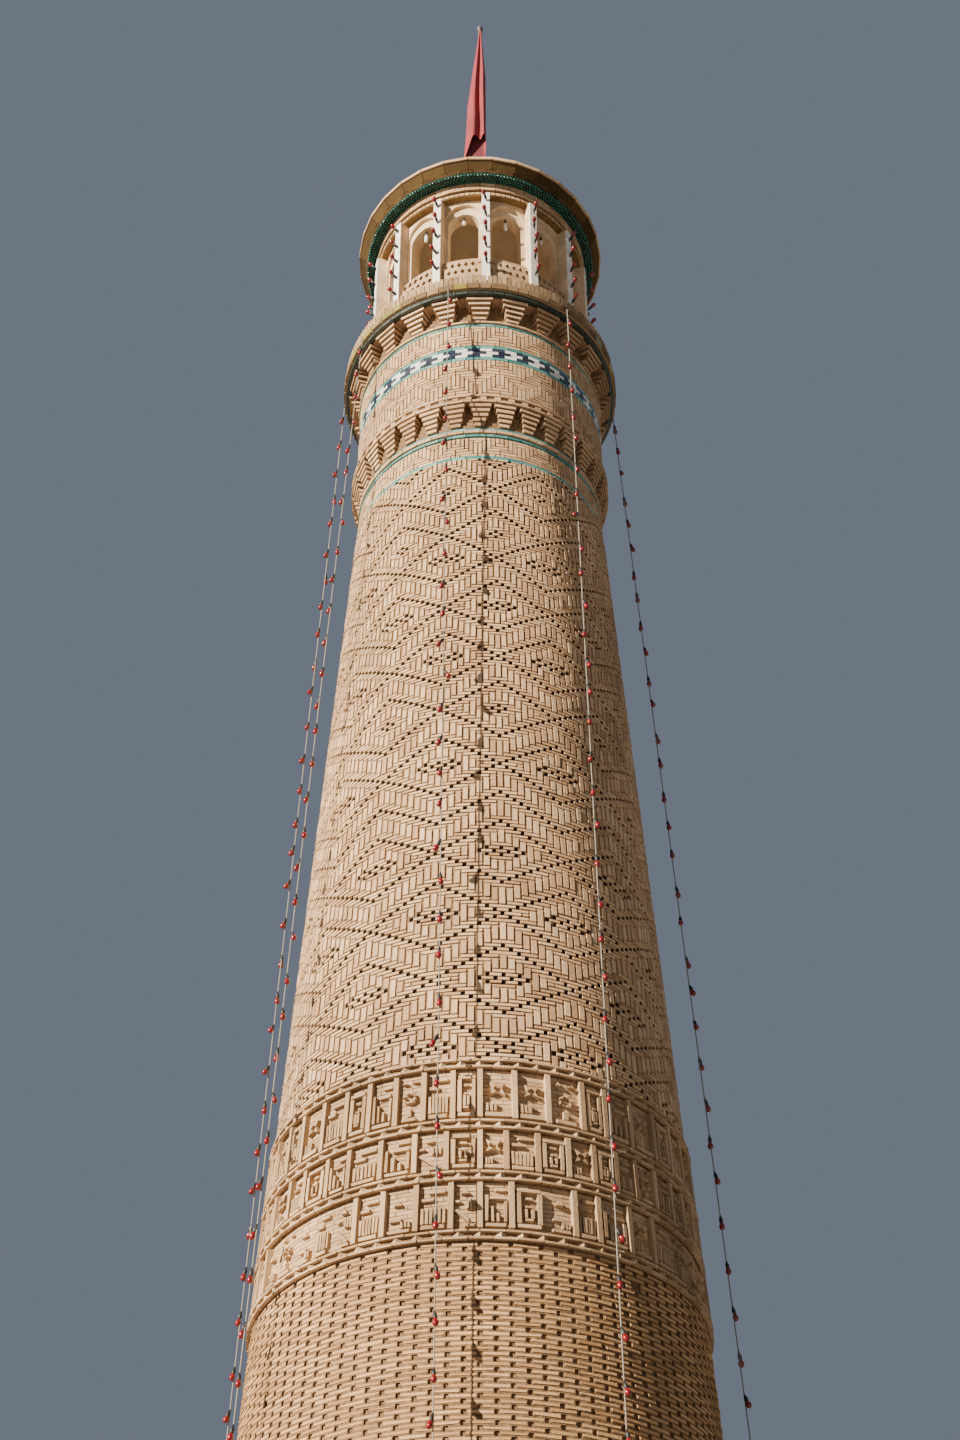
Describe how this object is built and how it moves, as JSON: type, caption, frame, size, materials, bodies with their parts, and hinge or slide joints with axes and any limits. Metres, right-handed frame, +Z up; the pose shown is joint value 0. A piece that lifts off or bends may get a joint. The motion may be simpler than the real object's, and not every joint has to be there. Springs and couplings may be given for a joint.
{
  "type": "brick minaret",
  "caption": "Tapering brick minaret with relief friezes, glazed bands, two corbelled rings and an arcaded round gallery with a flagpole.",
  "frame": {"origin": "centre of the flat ground face under the tower, on the axis of the shaft", "axes": "+Z up along the axis, -Y towards the front seen in the picture, +X to its right"},
  "size_m": [5.555, 5.465, 31.85],
  "materials": {
    "brick": "buff fired brick with pale mortar joints",
    "carved_brick": "buff brick laid in relief",
    "glazed_line": "turquoise glazed brick",
    "checker_tiles": "white, dark and turquoise glazed tiles",
    "soffit_tiles": "dark green glazed mosaic",
    "plaster": "cream gypsum plaster",
    "steel": "grey painted tube",
    "red_cloth": "plain red cloth",
    "light_string": "pale lead with black lamp holders and red bulbs"
  },
  "bodies": {
    "root": {"balcony_slab": "brick", "balcony_tile_line": "glazed_line", "base_wall_back": "brick", "base_wall_front": "brick", "base_wall_left": "brick", "base_wall_right": "brick", "canopy_cornice": "brick", "canopy_slab": "brick", "canopy_tile_band": "soffit_tiles", "drum_tile_band": "checker_tiles", "drum_tile_line": "glazed_line", "drum_wall": "brick", "flag": "red_cloth", "flagpole": "steel", "gallery_arcade": "plaster", "ground_floor": "brick", "light_string_far_left": "light_string", "light_string_far_right": "light_string", "light_string_front": "light_string", "light_string_left": "light_string", "light_string_right": "light_string", "lower_corbels": "brick", "lower_cornice": "brick", "lower_frieze": "carved_brick", "middle_frieze": "carved_brick", "moulding_over_lower_frieze": "carved_brick", "moulding_over_middle_frieze": "carved_brick", "moulding_over_upper_frieze": "carved_brick", "moulding_under_friezes": "carved_brick", "neck_course": "brick", "neck_tile_line_lower": "glazed_line", "neck_tile_line_upper": "glazed_line", "parapet": "plaster", "rim_cresting": "plaster", "roof_dome": "brick", "shaft_tile_line": "glazed_line", "shaft_wall_back": "brick", "shaft_wall_front": "brick", "shaft_wall_left": "brick", "shaft_wall_right": "brick", "upper_corbels": "brick", "upper_frieze": "carved_brick"}
  },
  "joints": []
}
